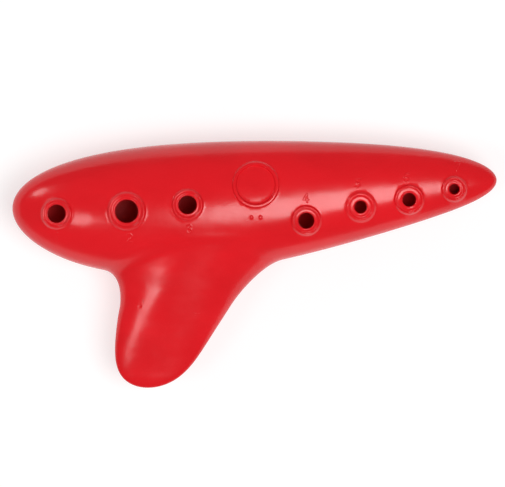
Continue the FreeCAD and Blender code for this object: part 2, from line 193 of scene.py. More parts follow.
def make_marks():
    """Everything moulded small on the front, each mark as the straight lines that it follows."""
    marks = []
    for centre, stroke, rise in zip(NUMBER_PLACES, number_strokes(), NUMBER_RISES):
        points = np.array(stroke) * NUMBER_HEIGHT + centre
        marks.append(Mark(centre, points[:-1], points[1:], STROKE, STROKE_SLOPE, rise))
    for dot in DOTS:
        point = np.array([dot])
        marks.append(Mark(dot, point, point, DOT_RADIUS, DOT_SLOPE, DOT_RISE))
    point = np.array([SINK_MARK])
    marks.append(Mark(SINK_MARK, point, point, SINK_RADIUS, SINK_SLOPE, -SINK_DEPTH))
    return marks


MARKS = make_marks()
MARK_REACH = 3.6


def near_mark(mark, x, y):
    return (abs(x - mark.centre[0]) < MARK_REACH) & (abs(y - mark.centre[1]) < MARK_REACH)


def mark_distance(mark, x, y):
    """Distance from each point to the nearest line of one mark."""
    starts = mark.starts
    run = mark.ends - starts
    length_squared = np.maximum((run**2).sum(axis=1), 1e-9)
    gap_x, gap_y = x[:, None] - starts[:, 0], y[:, None] - starts[:, 1]
    share = np.clip((gap_x * run[:, 0] + gap_y * run[:, 1]) / length_squared, 0, 1)
    return np.hypot(gap_x - share * run[:, 0], gap_y - share * run[:, 1]).min(axis=1)


def beside_marks(x, y):
    """Distance to the nearest mark, or MARK_REACH when none is near."""
    nearest = np.full(len(x), MARK_REACH)
    for mark in MARKS:
        near = near_mark(mark, x, y)
        if near.any():
            nearest[near] = np.minimum(nearest[near], mark_distance(mark, x[near], y[near]))
    return nearest


def mark_rise(x, y):
    """How far the marks lift the skin, with a soft edge of their own slope."""
    total = np.zeros(len(x))
    for mark in MARKS:
        near = near_mark(mark, x, y)
        if near.any():
            gap = mark_distance(mark, x[near], y[near])
            total[near] += mark.rise * ease((mark.half_width + mark.slope - gap) / mark.slope)
    return total


def slopes(function, x, y, step=0.01):
    along_x = (function(x + step, y) - function(x - step, y)) / (2 * step)
    along_y = (function(x, y + step) - function(x, y - step)) / (2 * step)
    return along_x, along_y


def body_half_width(x):
    t = body_share(x)
    return np.sqrt(t * (1 - t)) * bezier(t, SWELL)


WIDEST = max(float(body_half_width(x)) for x in range(-50, 30))
CHAMBER_START, CHAMBER_END = -HALF_LENGTH + TIP_WALL_LEFT, HALF_LENGTH - TIP_WALL_RIGHT


def chamber_half_width(x):
    t = np.clip((x - CHAMBER_START) / (CHAMBER_END - CHAMBER_START), 0.0, 1.0)
    return np.sqrt(t * (1 - t)) * (bezier(body_share(x), SWELL) - 2 * WALL)


def chamber_height(x, y, side):
    """Height of the sound chamber, zero outside it."""
    share = (DEPTH[side] - WALL) / (WIDEST - WALL)
    return share * np.sqrt(np.maximum(chamber_half_width(x) ** 2 - (y - body_axis(x)) ** 2, 0.0))


# ------------------------------------------------------------------ outlines

HALVINGS = 44


def crossing(function, y, start, end):
    """Where function(x, y) changes sign between start (inside) and end (outside), for arrays."""
    start, end = np.array(start, float), np.array(end, float)
    for _ in range(HALVINGS):
        middle = (start + end) / 2
        inside = function(middle, y) > 0
        start = np.where(inside, middle, start)
        end = np.where(inside, end, middle)
    return (start + end) / 2


def resample(points, spacing):
    """Closed loop of evenly spaced points."""
    closed = np.vstack([points, points[:1]])
    travel = np.r_[0.0, np.cumsum(np.hypot(*np.diff(closed, axis=0).T))]
    count = int(round(travel[-1] / spacing))
    goals = np.linspace(0, travel[-1], count, endpoint=False)
    return np.c_[np.interp(goals, travel, closed[:, 0]), np.interp(goals, travel, closed[:, 1])]


OUTLINE_ROWS, TOP_COLUMNS, TIP_INSET, OUTSIDE_X = 2400, 400, 1e-4, 90.0


def outer_outline(spacing):
    """Closed loop of points on the outline, found row by row and then moved exactly onto it."""
    xs = np.linspace(-10, 20, TOP_COLUMNS)
    tops = crossing(lambda y, x: field(x, y), xs, np.full_like(xs, 20.0), np.full_like(xs, 60.0))
    top_x, top_y = xs[tops.argmax()], tops.max() - TIP_INSET
    tip_y = BEAK_TIP + TIP_INSET
    y = (top_y + tip_y) / 2 + (top_y - tip_y) / 2 * np.cos(np.linspace(0, math.pi, OUTLINE_ROWS))
    # A line that stays inside the outline: straight up the mouthpiece, then over to the highest point
    bend_y = 10
    middle = BEAK_AXIS[0] + (top_x - BEAK_AXIS[0]) * np.maximum(y - bend_y, 0) / (top_y - bend_y)
    left = crossing(field, y, middle, np.full_like(y, -OUTSIDE_X))
    right = crossing(field, y, middle, np.full_like(y, OUTSIDE_X))
    loop = np.vstack([np.c_[left, y], np.c_[right, y][::-1][1:-1]])
    loop = resample(loop, spacing)
    for _ in range(3):
        dx, dy = slopes(field, loop[:, 0], loop[:, 1])
        pull = field(loop[:, 0], loop[:, 1]) / (dx * dx + dy * dy)
        loop -= np.c_[dx * pull, dy * pull]
    return loop


CHAMBER_COLUMNS = 400


def chamber_outline(spacing):
    """Closed loop round the sound chamber where it meets the parting plane."""
    middle, reach = (CHAMBER_START + CHAMBER_END) / 2, (CHAMBER_END - CHAMBER_START) / 2
    x = middle + reach * np.cos(np.linspace(0, math.pi, CHAMBER_COLUMNS))
    half, axis = chamber_half_width(x), body_axis(x)
    loop = np.vstack([np.c_[x, axis + half], np.c_[x, axis - half][::-1][1:-1]])
    return resample(loop, spacing)


def refined(loop, places):
    """The loop with every place that lies on one of its sides added to it."""
    points = []
    for a, b in zip(loop, np.roll(loop, -1, axis=0)):
        run = b - a
        share = (places - a) @ run / (run @ run)
        off = abs((places - a) @ np.array([-run[1], run[0]])) / math.hypot(*run)
        between = places[(off < 1e-5) & (share > 1e-4) & (share < 1 - 1e-4)]
        order = np.argsort((between - a) @ run)
        points.extend([a, *between[order]])
    return np.array(points)


def circle(cx, cy, radius, count):
    turn = np.linspace(0, 2 * math.pi, count, endpoint=False)
    return np.c_[cx + radius * np.cos(turn), cy + radius * np.sin(turn)]


def inside_loop(loop, x, y):
    """Even-odd test of many points against one closed loop."""
    hits = np.zeros(len(x), bool)
    for (ax, ay), (bx, by) in zip(loop, np.roll(loop, -1, axis=0)):
        spans = (ay > y) != (by > y)
        if ay != by:
            hits ^= spans & (x < (bx - ax) * (y - ay) / (by - ay) + ax)
    return hits


def inward(loop):
    """Unit vectors from the outline's points towards the inside."""
    dx, dy = slopes(field, loop[:, 0], loop[:, 1])
    length = np.hypot(dx, dy)
    return np.c_[dx / length, dy / length]


# ------------------------------------------------------------------ windway frame

# "along" runs from the mouthpiece tip up the windway and "across" over its width, both in mm
WINDWAY_X, TURN = -34.3, math.radians(-5.0)
ROOF_DROP, ROOF_SLOPE = 0.5, 0.1763
BLOCK_START, WINDOW_START, WINDOW_END, POCKET_END = 16.0, 36.6, 41.6, 50.0
RECESS_HALF, FLUE_HALF, POCKET_HALF = 6.6, 4.75, 5.75
RECESS_START, RECESS_TOP, POCKET_ROOF = BLOCK_START - 0.1, (2.3, 5.7), 5.0
WINDOW_SPACING, POCKET_SPACING = 0.7, 2.0
FLUE_LEAD, FLUE_TIP_HALF, FLUE_TIP_HEIGHT, FLUE_END_HEIGHT = 3.0, 5.5, 1.8, 1.2
LIP_DEPTH, LIP_THICKNESS, RAMP_SLOPE, RAMP_REACH, POCKET_SLOPE = 8.7, 0.5, 0.575, 15.0, 0.364


def to_windway(x, y):
    dx, dy = x - WINDWAY_X, y - BEAK_TIP
    across = dx * math.cos(TURN) + dy * math.sin(TURN)
    along = -dx * math.sin(TURN) + dy * math.cos(TURN)
    return across, along


def from_windway(points):
    across, along = np.asarray(points, float).T
    x = WINDWAY_X + across * math.cos(TURN) - along * math.sin(TURN)
    y = BEAK_TIP + across * math.sin(TURN) + along * math.cos(TURN)
    return np.c_[x, y]


def roof_depth(along):
    return ROOF_DROP + ROOF_SLOPE * along


def flue_share(along):
    return (along + FLUE_LEAD) / (WINDOW_START + FLUE_LEAD)


def flue_half(along):
    return FLUE_TIP_HALF + (FLUE_HALF - FLUE_TIP_HALF) * flue_share(along)


def flue_floor(along):
    """Depth of the windway floor: the channel flattens towards the window."""
    return roof_depth(along) + FLUE_TIP_HEIGHT + (FLUE_END_HEIGHT - FLUE_TIP_HEIGHT) * flue_share(along)


def rectangle(half_width, start, end):
    """Corners of a rectangle that is centred on the windway."""
    return [(-half_width, start), (half_width, start), (half_width, end), (-half_width, end)]


def subdivided(corners, spacing):
    """Closed loop through the corners, with points between them."""
    points = []
    for a, b in zip(corners, corners[1:] + corners[:1]):
        steps = max(1, int(round(math.dist(a, b) / spacing)))
        for i in range(steps):
            points.append([a[k] + (b[k] - a[k]) * i / steps for k in (0, 1)])
    return np.array(points)


# ------------------------------------------------------------------ layered shell builder

# Region numbers of a layer: 0 and up are surfaces, these two are left open
CUT_THROUGH, NO_FACE = -1, -2


class Shell:
    """Collects the faces of one moulded half.  Every wall is parallel to the draw direction."""

    def __init__(self, side):
        self.side = side
        self.faces = []
        self.walls = []
        self.heights = defaultdict(set)
        self.open_edges = defaultdict(list)

    def key(self, point):
        return round(float(point[0]), 5), round(float(point[1]), 5)

    def add_face(self, corners):
        for x, y, h in corners:
            self.heights[self.key((x, y))].add(round(float(h), 5))
        self.faces.append(corners)

    def add_wall(self, a, b, a_heights, b_heights):
        """Vertical wall over the plan edge a-b; its heights may come in any order."""
        self.walls.append((self.key(a), self.key(b), a_heights, b_heights))

    def add_grid(self, rows):
        """Quads between successive closed loops of equal length, given as (n, 3) arrays."""
        for lower, upper in zip(rows, rows[1:]):
            count = len(lower)
            for i in range(count):
                j = (i + 1) % count
                self.add_face([lower[i], lower[j], upper[j], upper[i]])

    def add_layer(self, loops, free, classify, heights):
        """Triangulated layer; regions with different heights are joined by walls."""
        points, edges = [], []
        for loop in loops:
            base = len(points)
            points.extend(Vector(p) for p in loop)
            edges.extend((base + i, base + (i + 1) % len(loop)) for i in range(len(loop)))
        points.extend(Vector(p) for p in free)
        out = delaunay_2d_cdt(points, edges, [], 0, 1e-6, False)
        xy = np.array([tuple(v) for v in out[0]])
        triangles = np.array([f for f in out[2] if len(f) == 3])
        middle = xy[triangles].mean(axis=1)
        region = classify(middle[:, 0], middle[:, 1])
        at = {r: heights[r](xy[:, 0], xy[:, 1]) for r in set(region.tolist()) if r >= 0}
        sides = defaultdict(list)
        for triangle, r in zip(triangles.tolist(), region.tolist()):
            if r >= 0:
                self.add_face([(xy[i, 0], xy[i, 1], at[r][i]) for i in triangle])
            for i in range(3):
                a, b = triangle[i], triangle[(i + 1) % 3]
                sides[min(a, b), max(a, b)].append(r)
        for (a, b), regions in sides.items():
            if len(regions) == 2 and regions[0] != regions[1]:
                kept = [r for r in regions if r >= 0]
                if len(kept) == 2:
                    r, s = kept
                    if max(abs(at[r][a] - at[s][a]), abs(at[r][b] - at[s][b])) > 1e-4:
                        self.add_wall(xy[a], xy[b], (at[r][a], at[s][a]), (at[r][b], at[s][b]))
                elif kept:
                    self.note_open(xy[a], xy[b], at[kept[0]][a], at[kept[0]][b])
        return xy

    def note_open(self, a, b, a_height, b_height):
        """Edge of a through cut; the same plan edge in two layers makes a wall."""
        ka, kb = self.key(a), self.key(b)
        if ka > kb:
            ka, kb, a_height, b_height = kb, ka, b_height, a_height
        self.open_edges[ka, kb].append((a_height, b_height))

    def mesh(self, name):
        for (a, b), pairs in self.open_edges.items():
            if len(pairs) == 2:
                self.add_wall(a, b, (pairs[0][0], pairs[1][0]), (pairs[0][1], pairs[1][1]))
        for a, b, a_heights, b_heights in self.walls:
            rising = self.climb(a, a_heights)
            falling = self.climb(b, b_heights)[::-1]
            corners = [(*a, h) for h in rising] + [(*b, h) for h in falling]
            if len(corners) > 2:
                self.faces.append(corners)
        index, positions, polygons = {}, [], []
        for corners in self.faces:
            polygon = []
            for x, y, h in corners:
                k = (round(float(x), 4), round(float(y), 4), round(float(h), 4))
                if k not in index:
                    index[k] = len(positions)
                    positions.append((k[0] * MM, k[1] * MM, (PARTING + self.side * k[2]) * MM))
                if not polygon or polygon[-1] != index[k]:
                    polygon.append(index[k])
            if polygon[0] == polygon[-1]:
                polygon.pop()
            if len(set(polygon)) > 2:
                polygons.append(polygon)
        mesh = bpy.data.meshes.new(name)
        mesh.from_pydata(positions, [], polygons)
        work = bmesh.new()
        work.from_mesh(mesh)
        bmesh.ops.remove_doubles(work, verts=work.verts, dist=2e-7)
        bmesh.ops.dissolve_degenerate(work, edges=work.edges, dist=1e-8)
        bmesh.ops.recalc_face_normals(work, faces=work.faces)
        work.to_mesh(mesh)
        work.free()
        return mesh

    def climb(self, place, heights):
        """All known heights over one plan point between the two given, in order."""
        low, high = sorted(round(float(h), 5) for h in heights)
        known = {h for h in self.heights[place] if low < h < high}
        return sorted(known | {low, high})


def collar_profile(hole, lip, dip, crest, foot):
    """(radius, rise) pairs from the foot of a finger-hole collar in to its mouth."""
    rise, dip_rise, lip_rise, mouth_drop = 0.80, 0.22, 0.26, 0.35
    steps = []
    for share in np.linspace(0, 1, 9):
        steps.append((foot + (crest - foot) * share, rise * float(ease(share))))
    for share in np.linspace(0, 1, 8)[1:]:
        steps.append((crest + (dip - crest) * share, rise + (dip_rise - rise) * float(ease(share))))
    for share in np.linspace(0, 1, 4)[1:]:
        steps.append((dip + (lip - dip) * share, dip_rise + (lip_rise - dip_rise) * share))
    for share in np.linspace(0, 1, 7)[1:]:
        sweep = math.pi / 2 * share
        radius = hole + (lip - hole) * (1 - math.sin(sweep))
        steps.append((radius, lip_rise - (lip_rise + mouth_drop) * (1 - math.cos(sweep))))
    return steps


def rest_profile(inner, outer):
    """Ring with rounded shoulders and a nearly flat top."""
    side, rise = 0.50, 0.75
    shares = np.linspace(0, 1, 9)
    climb = [(outer - side * share, rise * float(ease(share))) for share in shares]
    fall = [(inner + side * share, rise * float(ease(share))) for share in shares[::-1]]
    return climb + fall


def thumb_profile(hole):
    """Softly rounded mouth without a collar."""
    round_in, round_down = 0.9, 0.7
    steps = []
    for share in np.linspace(0, 1, 9):
        sweep = math.pi / 2 * share
        steps.append((hole + round_in * (1 - math.sin(sweep)), -round_down * (1 - math.cos(sweep))))
    return steps


# A ring is a round feature; its count is the number of points in each of its loops
Ring = namedtuple("Ring", "x y profile through count")
HOLE_POINTS, REST_POINTS, HOLE_WALL_ROWS = 96, 132, 9
RINGS = {
    FRONT: [Ring(x, y, collar_profile(*radii), True, HOLE_POINTS) for x, y, *radii in FINGER_HOLES]
    + [Ring(REST[0], REST[1], rest_profile(*REST[2:]), False, REST_POINTS)],
    BACK: [Ring(x, y, thumb_profile(hole), True, HOLE_POINTS) for x, y, hole in THUMB_HOLES],
}

OUTLINE_SPACING = 0.7
OUTLINE = outer_outline(OUTLINE_SPACING)
SEAM_INSET, SEAM_HEIGHT = 0.12, 0.30
RIM_WIDTH, RIM_STEPS = 1.6, 9


def add_rim(shell):
    """Strip that climbs from the seam, where the form is steepest."""
    toward = inward(OUTLINE)
    rows = []
    for step in range(RIM_STEPS + 1):
        inset = RIM_WIDTH * (step / RIM_STEPS) ** 2
        points = OUTLINE + toward * inset
        h = form_height(points[:, 0], points[:, 1], shell.side)
        if step == 0:
            h = np.zeros_like(h)
        groove = SEAM_INSET * np.maximum(1 - h / SEAM_HEIGHT, 0) ** 2
        points = points + toward * groove[:, None]
        rows.append(np.c_[points, h])
    shell.add_grid(rows)
    return rows


def add_rings(shell, inner_height):
    """Collars, rest and hole walls; returns their plan loops on the skin and inside the shell."""
    outer_loops, hole_loops = [], []
    for ring in RINGS[shell.side]:
        rows = []
        for radius, rise in ring.profile:
            points = circle(ring.x, ring.y, radius, ring.count)
            rows.append(np.c_[points, form_height(*points.T, shell.side) + rise])
        outer_loops.append(rows[0][:, :2])
        if ring.through:
            mouth = rows[-1]
            floor = inner_height(mouth[:, 0], mouth[:, 1])
            for share in np.linspace(0, 1, HOLE_WALL_ROWS)[1:]:
                rows.append(np.c_[mouth[:, :2], mouth[:, 2] + (floor - mouth[:, 2]) * share])
            hole_loops.append(mouth[:, :2])
        else:
            outer_loops.append(rows[-1][:, :2])
        shell.add_grid(rows)
    return outer_loops, hole_loops


def free_points(spacing, keep, centre=(0.0, 0.0), reach=(82.0, 42.0)):
    """Staggered grid of points where keep(x, y) is true."""
    ys = np.arange(centre[1] - reach[1], centre[1] + reach[1], spacing * math.sqrt(0.75))
    xs = np.arange(centre[0] - reach[0], centre[0] + reach[0], spacing)
    grid_x, grid_y = np.meshgrid(xs, ys)
    grid_x = grid_x + (np.arange(len(ys)) % 2)[:, None] * spacing / 2
    x, y = grid_x.ravel(), grid_y.ravel()
    kept = keep(x, y)
    return np.c_[x[kept], y[kept]]


# Spacing of the front skin's points by distance from the nearest mark: spacing, from, to
MARK_GRIDS = ((0.12, 0.0, 0.50), (0.30, 0.58, 1.25))
SKIN_SPACING, SKIN_CLEAR, MARK_CLEAR = 0.78, 0.42, 1.55
INSIDE_OUTLINE_SPACING, INSIDE_SPACING, INSIDE_CLEAR, INSIDE_EDGE_HEIGHT = 1.2, 1.7, 0.7, 1.5


def marked_points():
    """Finer points round the moulded marks, so that their edges are crisp."""
    points = [np.empty((0, 2))]
    for mark in MARKS:
        for spacing, low, high in MARK_GRIDS:
            def keep(x, y):
                gap = mark_distance(mark, x, y)
                return (gap >= low) & (gap < high)
            points.append(free_points(spacing, keep, mark.centre, (MARK_REACH, MARK_REACH)))
    return np.vstack(points)


def clear_of(loops, points, distance):
    """Points that keep a distance from every point of the loops."""
    ends = np.vstack(loops)
    kept = np.ones(len(points), bool)
    batch = 2000
    for start in range(0, len(points), batch):
        some = points[start:start + batch]
        gap_squared = ((some[:, None, :] - ends[None, :, :]) ** 2).sum(axis=2).min(axis=1)
        kept[start:start + batch] = gap_squared > distance**2
    return points[kept]


def in_rings(side, x, y):
    """True inside the structured ring of any hole (the rest only inside its band)."""
    hit = np.zeros(len(x), bool)
    for ring in RINGS[side]:
        radius = np.hypot(x - ring.x, y - ring.y)
        band = radius < ring.profile[0][0]
        if not ring.through:
            band &= radius > ring.profile[-1][0]
        hit |= band
    return hit


def add_skin(shell, ring_loops, rim_rows, extra_loops=(), regions=None, heights=None):
    """Outer surface between the rim strip and the rings."""
    inner_loop = rim_rows[-1][:, :2]
    loops = [inner_loop, *ring_loops, *extra_loops]
    dense = free_points(SKIN_SPACING, lambda x, y: field(x, y) > 0)
    if shell.side == FRONT:
        dense = dense[beside_marks(*dense.T) > MARK_CLEAR]
        dense = np.vstack([dense, marked_points()])
    dense = dense[inside_loop(inner_loop, dense[:, 0], dense[:, 1])]
    dense = dense[~in_rings(shell.side, dense[:, 0], dense[:, 1])]
    dense = clear_of(loops, dense, SKIN_CLEAR)

    def classify(x, y):
        region = np.zeros(len(x), int)
        if regions is not None:
            region = regions(x, y)
        region[~inside_loop(inner_loop, x, y)] = NO_FACE
        region[in_rings(shell.side, x, y)] = NO_FACE
        return region

    def skin_height(x, y):
        h = form_height(x, y, shell.side)
        return h + mark_rise(x, y) if shell.side == FRONT else h

    table = {0: skin_height, **(heights or {})}
    shell.add_layer(loops, dense, classify, table)


def add_inside(shell, rim_rows, hole_loops, extra_loops, classify_extra, heights):
    """Chamber, parting face and pockets."""
    def chamber_at(x, y):
        return chamber_height(x, y, shell.side)

    rim = rim_rows[0][:, :2]
    chamber = chamber_outline(INSIDE_OUTLINE_SPACING)
    loops = [rim, chamber, *hole_loops, *extra_loops]
    free = free_points(INSIDE_SPACING, lambda x, y: chamber_at(x, y) > INSIDE_EDGE_HEIGHT)
    free = clear_of(loops, free, INSIDE_CLEAR)

    def classify(x, y):
        region = classify_extra(x, y)
        for loop in hole_loops:
            region[inside_loop(loop, x, y)] = NO_FACE
        region[~inside_loop(rim, x, y)] = NO_FACE
        return region

    return shell.add_layer(loops, free, classify, {0: chamber_at, **heights})


# ------------------------------------------------------------------ front shell

def front_shell_mesh():
    shell = Shell(FRONT)
    rim = add_rim(shell)
    ring_loops, hole_loops = add_rings(shell, lambda x, y: chamber_height(x, y, FRONT))
    add_skin(shell, ring_loops, rim)
    recess = rectangle(RECESS_HALF, RECESS_START, WINDOW_START)
    pocket = rectangle(POCKET_HALF, WINDOW_START, POCKET_END)
    extra = [from_windway(subdivided(corners, POCKET_SPACING)) for corners in (recess, pocket)]

    def regions(x, y):
        across, along = to_windway(x, y)
        region = np.zeros(len(x), int)
        in_recess = (abs(across) < RECESS_HALF) & (along > RECESS_START)
        region[in_recess & (along < WINDOW_START)] = 1
        in_pocket = (abs(across) < POCKET_HALF) & (along > WINDOW_START)
        region[in_pocket & (along < POCKET_END)] = 2
        return region

    def recess_roof(x, y):
        along = to_windway(x, y)[1]
        share = (along - BLOCK_START) / (WINDOW_START - BLOCK_START)
        return RECESS_TOP[0] + (RECESS_TOP[1] - RECESS_TOP[0]) * share

    def pocket_roof(x, y):
        return np.maximum(chamber_height(x, y, FRONT), POCKET_ROOF)

    add_inside(shell, rim, hole_loops, extra, regions, {1: recess_roof, 2: pocket_roof})
    return shell.mesh("front_shell_moulding")


# ------------------------------------------------------------------ back shell

def ramp_depth(x, y):
    return LIP_DEPTH + (to_windway(x, y)[1] - WINDOW_END) * RAMP_SLOPE


def ramp_end(across):
    """Where the labium ramp runs out through the back surface."""
    near, far = WINDOW_END, WINDOW_END + RAMP_REACH
    for _ in range(HALVINGS):
        middle = (near + far) / 2
        x, y = from_windway([(across, middle)])[0]
        if form_height(x, y, BACK) > ramp_depth(x, y):
            near = middle
        else:
            far = middle
    return near


def back_shell_mesh():
    shell = Shell(BACK)
    rim = add_rim(shell)
    ring_loops, hole_loops = add_rings(shell, lambda x, y: chamber_height(x, y, BACK))
    window = rectangle(FLUE_HALF, WINDOW_START, WINDOW_END)
    window_loop = from_windway(subdivided(window, WINDOW_SPACING))
    far_edge = [(a, ramp_end(a)) for a in np.linspace(FLUE_HALF, -FLUE_HALF, 15)]
    ramp = [(-FLUE_HALF, WINDOW_END), (FLUE_HALF, WINDOW_END), *far_edge]
    ramp_loop = from_windway(subdivided(ramp, WINDOW_SPACING))

    def outer_regions(x, y):
        region = np.zeros(len(x), int)
        region[inside_loop(ramp_loop, x, y)] = 1
        region[inside_loop(window_loop, x, y)] = CUT_THROUGH
        return region

    recess = rectangle(RECESS_HALF, RECESS_START, WINDOW_START)
    wide = flue_half(RECESS_START)
    flue = [(-wide, RECESS_START), (wide, RECESS_START),
            (FLUE_HALF, WINDOW_START), (-FLUE_HALF, WINDOW_START)]
    pocket = rectangle(POCKET_HALF, WINDOW_START, POCKET_END)
    extra = [from_windway(subdivided(corners, POCKET_SPACING)) for corners in (recess, flue, pocket)]

    def inner_regions(x, y):
        across, along = to_windway(x, y)
        region = np.zeros(len(x), int)
        behind = (along > RECESS_START) & (along < WINDOW_START)
        region[behind & (abs(across) < RECESS_HALF)] = 1
        region[behind & (abs(across) < flue_half(along))] = 2
        beyond = (along > WINDOW_START) & (along < POCKET_END)
        region[beyond & (abs(across) < POCKET_HALF)] = 3
        region[inside_loop(window_loop, x, y)] = CUT_THROUGH
        return region

    def pocket_floor(x, y):
        along = to_windway(x, y)[1]
        plane = LIP_DEPTH - LIP_THICKNESS + (along - WINDOW_END) * POCKET_SLOPE
        return np.maximum(chamber_height(x, y, BACK), plane)

    heights = {
        1: lambda x, y: roof_depth(to_windway(x, y)[1]),
        2: lambda x, y: flue_floor(to_windway(x, y)[1]),
        3: pocket_floor,
    }
    inner = add_inside(shell, rim, hole_loops, [window_loop, *extra], inner_regions, heights)
    cut_loops = [refined(window_loop, inner), ramp_loop]
    add_skin(shell, ring_loops, rim, cut_loops, outer_regions, {1: ramp_depth})
    return shell.mesh("back_shell_moulding")


def add_object(mesh):
    piece = bpy.data.objects.new(mesh.name, mesh)
    bpy.context.scene.collection.objects.link(piece)
    return piece


def windway_mouth_mesh():
    """Tapering bar that cuts the windway from the tip into the open flue."""
    overlap, clear = 0.3, 0.02
    start, end = -FLUE_LEAD, BLOCK_START + overlap
    corners = []
    for along in (start, end):
        half = flue_half(along) - clear
        for across, depth in ((-half, roof_depth(along)), (half, roof_depth(along)),
                              (half, flue_floor(along) - clear), (-half, flue_floor(along) - clear)):
            x, y = from_windway([(across, along)])[0]
            corners.append((x * MM, y * MM, (PARTING - depth) * MM))
    faces = [(0, 1, 2, 3), (7, 6, 5, 4)] + [(i, i + 4, (i + 1) % 4 + 4, (i + 1) % 4) for i in range(4)]
    mesh = bpy.data.meshes.new("windway_mouth")
    mesh.from_pydata(corners, [], faces)
    return mesh


def cut_away(piece, mesh):
    cutter = add_object(mesh)
    cut = piece.modifiers.new("cut", "BOOLEAN")
    cut.operation, cut.solver, cut.object = "DIFFERENCE", "EXACT", cutter
    graph = bpy.context.evaluated_depsgraph_get()
    piece.data = bpy.data.meshes.new_from_object(piece.evaluated_get(graph))
    piece.modifiers.clear()
    bpy.data.objects.remove(cutter)


CRISP_ANGLE = math.radians(38)


def smooth_with_crisp_edges(mesh):
    mesh.shade_smooth()
    mesh.set_sharp_from_angle(angle=CRISP_ANGLE)


# ------------------------------------------------------------------ materials

class Nodes:
    """Short names for the node calls that the materials share."""

    def __init__(self, name):
        self.material = bpy.data.materials.new(name)
        self.material.use_nodes = True
        self.tree = self.material.node_tree
        self.shader = self.tree.nodes["Principled BSDF"]
        self.place = self.tree.nodes.new("ShaderNodeTexCoord").outputs["Object"]

    def link(self, output, target):
        self.tree.links.new(output, target)

    def noise(self, scale, detail=2.0, roughness=0.5, stretch=None):
        """Noise over the object's own coordinates; stretch is a pair of scale and rotation."""
        node = self.tree.nodes.new("ShaderNodeTexNoise")
        node.inputs["Scale"].default_value = scale
        node.inputs["Detail"].default_value = detail
        node.inputs["Roughness"].default_value = roughness
        place = self.place
        if stretch:
            mapping = self.tree.nodes.new("ShaderNodeMapping")
            mapping.inputs["Scale"].default_value = stretch[0]
            mapping.inputs["Rotation"].default_value = stretch[1]
            self.link(place, mapping.inputs["Vector"])
            place = mapping.outputs["Vector"]
        self.link(place, node.inputs["Vector"])
        return node.outputs["Fac"]

    def spread(self, value, low, high, to_low, to_high):
        """Smooth ramp that takes low to to_low and high to to_high."""
        node = self.tree.nodes.new("ShaderNodeMapRange")
        node.interpolation_type = "SMOOTHSTEP"
        for name, number in zip(("From Min", "From Max", "To Min", "To Max"), (low, high, to_low, to_high)):
            node.inputs[name].default_value = number
        self.link(value, node.inputs["Value"])
        return node.outputs["Result"]

    def blend(self, share, first, second):
        """Colour between two colours; either may be another node's output."""
        node = self.tree.nodes.new("ShaderNodeMix")
        node.data_type = "RGBA"
        self.link(share, node.inputs["Factor"])
        for socket, colour in ((node.inputs[6], first), (node.inputs[7], second)):
            if isinstance(colour, tuple):
                socket.default_value = (*colour, 1.0)
            else:
                self.link(colour, socket)
        return node.outputs[2]

    def add(self, first, second, factor):
        """first + second * factor."""
        node = self.tree.nodes.new("ShaderNodeMath")
        node.operation = "MULTIPLY_ADD"
        self.link(second, node.inputs[0])
        node.inputs[1].default_value = factor
        self.link(first, node.inputs[2])
        return node.outputs[0]

    def bump(self, height, distance):
        node = self.tree.nodes.new("ShaderNodeBump")
        node.inputs["Strength"].default_value = 1.0
        node.inputs["Distance"].default_value = distance
        self.link(height, node.inputs["Height"])
        self.link(node.outputs["Normal"], self.shader.inputs["Normal"])


FLOW_STRETCH = ((1.0, 1.9, 1.4), (0.0, 0.0, math.radians(20)))
WIPE_STRETCH = ((0.10, 1.6, 1.0), (0.0, 0.0, math.radians(-12)))
GRAIN_SHARE, WIPE_ROUGHNESS, FINE_PEEL, PEEL_DEPTH = 0.22, 0.045, 0.05, 0.00006


def moulded_plastic(name, deep, main, bright, smoothest, roughest):
    """Moulded plastic: slow flow marks in the colour, a soft orange peel, and fine wiping scratches."""
    nodes = Nodes(name)
    flow = nodes.noise(28.0, detail=3.0, roughness=0.55, stretch=FLOW_STRETCH)
    colour = nodes.blend(nodes.spread(flow, 0.35, 0.65, 0.0, 1.0), deep, main)
    grain = nodes.noise(2600.0)
    colour = nodes.blend(nodes.spread(grain, 0.45, 0.75, 0.0, GRAIN_SHARE), colour, bright)
    nodes.link(colour, nodes.shader.inputs["Base Color"])

    haze = nodes.noise(95.0, detail=4.0, roughness=0.6)
    wipes = nodes.noise(340.0, detail=3.0, roughness=0.6, stretch=WIPE_STRETCH)
    roughness = nodes.spread(haze, 0.3, 0.7, smoothest, roughest)
    roughness = nodes.add(roughness, nodes.spread(wipes, 0.50, 0.80, 0.0, 1.0), WIPE_ROUGHNESS)
    nodes.link(roughness, nodes.shader.inputs["Roughness"])

    peel = nodes.noise(210.0, detail=1.0)
    nodes.bump(nodes.add(peel, nodes.noise(1500.0), FINE_PEEL), PEEL_DEPTH)
    nodes.shader.inputs["IOR"].default_value = 1.45
    nodes.shader.inputs["Subsurface Weight"].default_value = 0.06
    nodes.shader.inputs["Subsurface Radius"].default_value = (0.0012, 0.0003, 0.0003)
    nodes.shader.inputs["Subsurface Scale"].default_value = 1.0
    return nodes.material


# Deep, main and bright tone of the shells and of the darker windway block
SHELL_REDS = ((0.78, 0.0058, 0.0115), (0.86, 0.0070, 0.0140), (0.93, 0.0130, 0.0220))
BLOCK_REDS = ((0.58, 0.0050, 0.0090), (0.66, 0.0055, 0.0110), (0.74, 0.0110, 0.0180))
shell_plastic = moulded_plastic("shell_plastic_look", *SHELL_REDS, smoothest=0.17, roughest=0.25)
chamber_plastic = moulded_plastic("chamber_plastic_look", *SHELL_REDS, smoothest=0.50, roughest=0.62)
block_plastic = moulded_plastic("block_plastic_look", *BLOCK_REDS, smoothest=0.30, roughest=0.40)


# ------------------------------------------------------------------ the pieces

CORE_MARGIN = 0.3      # mm past the chamber's wall that still counts as inside it


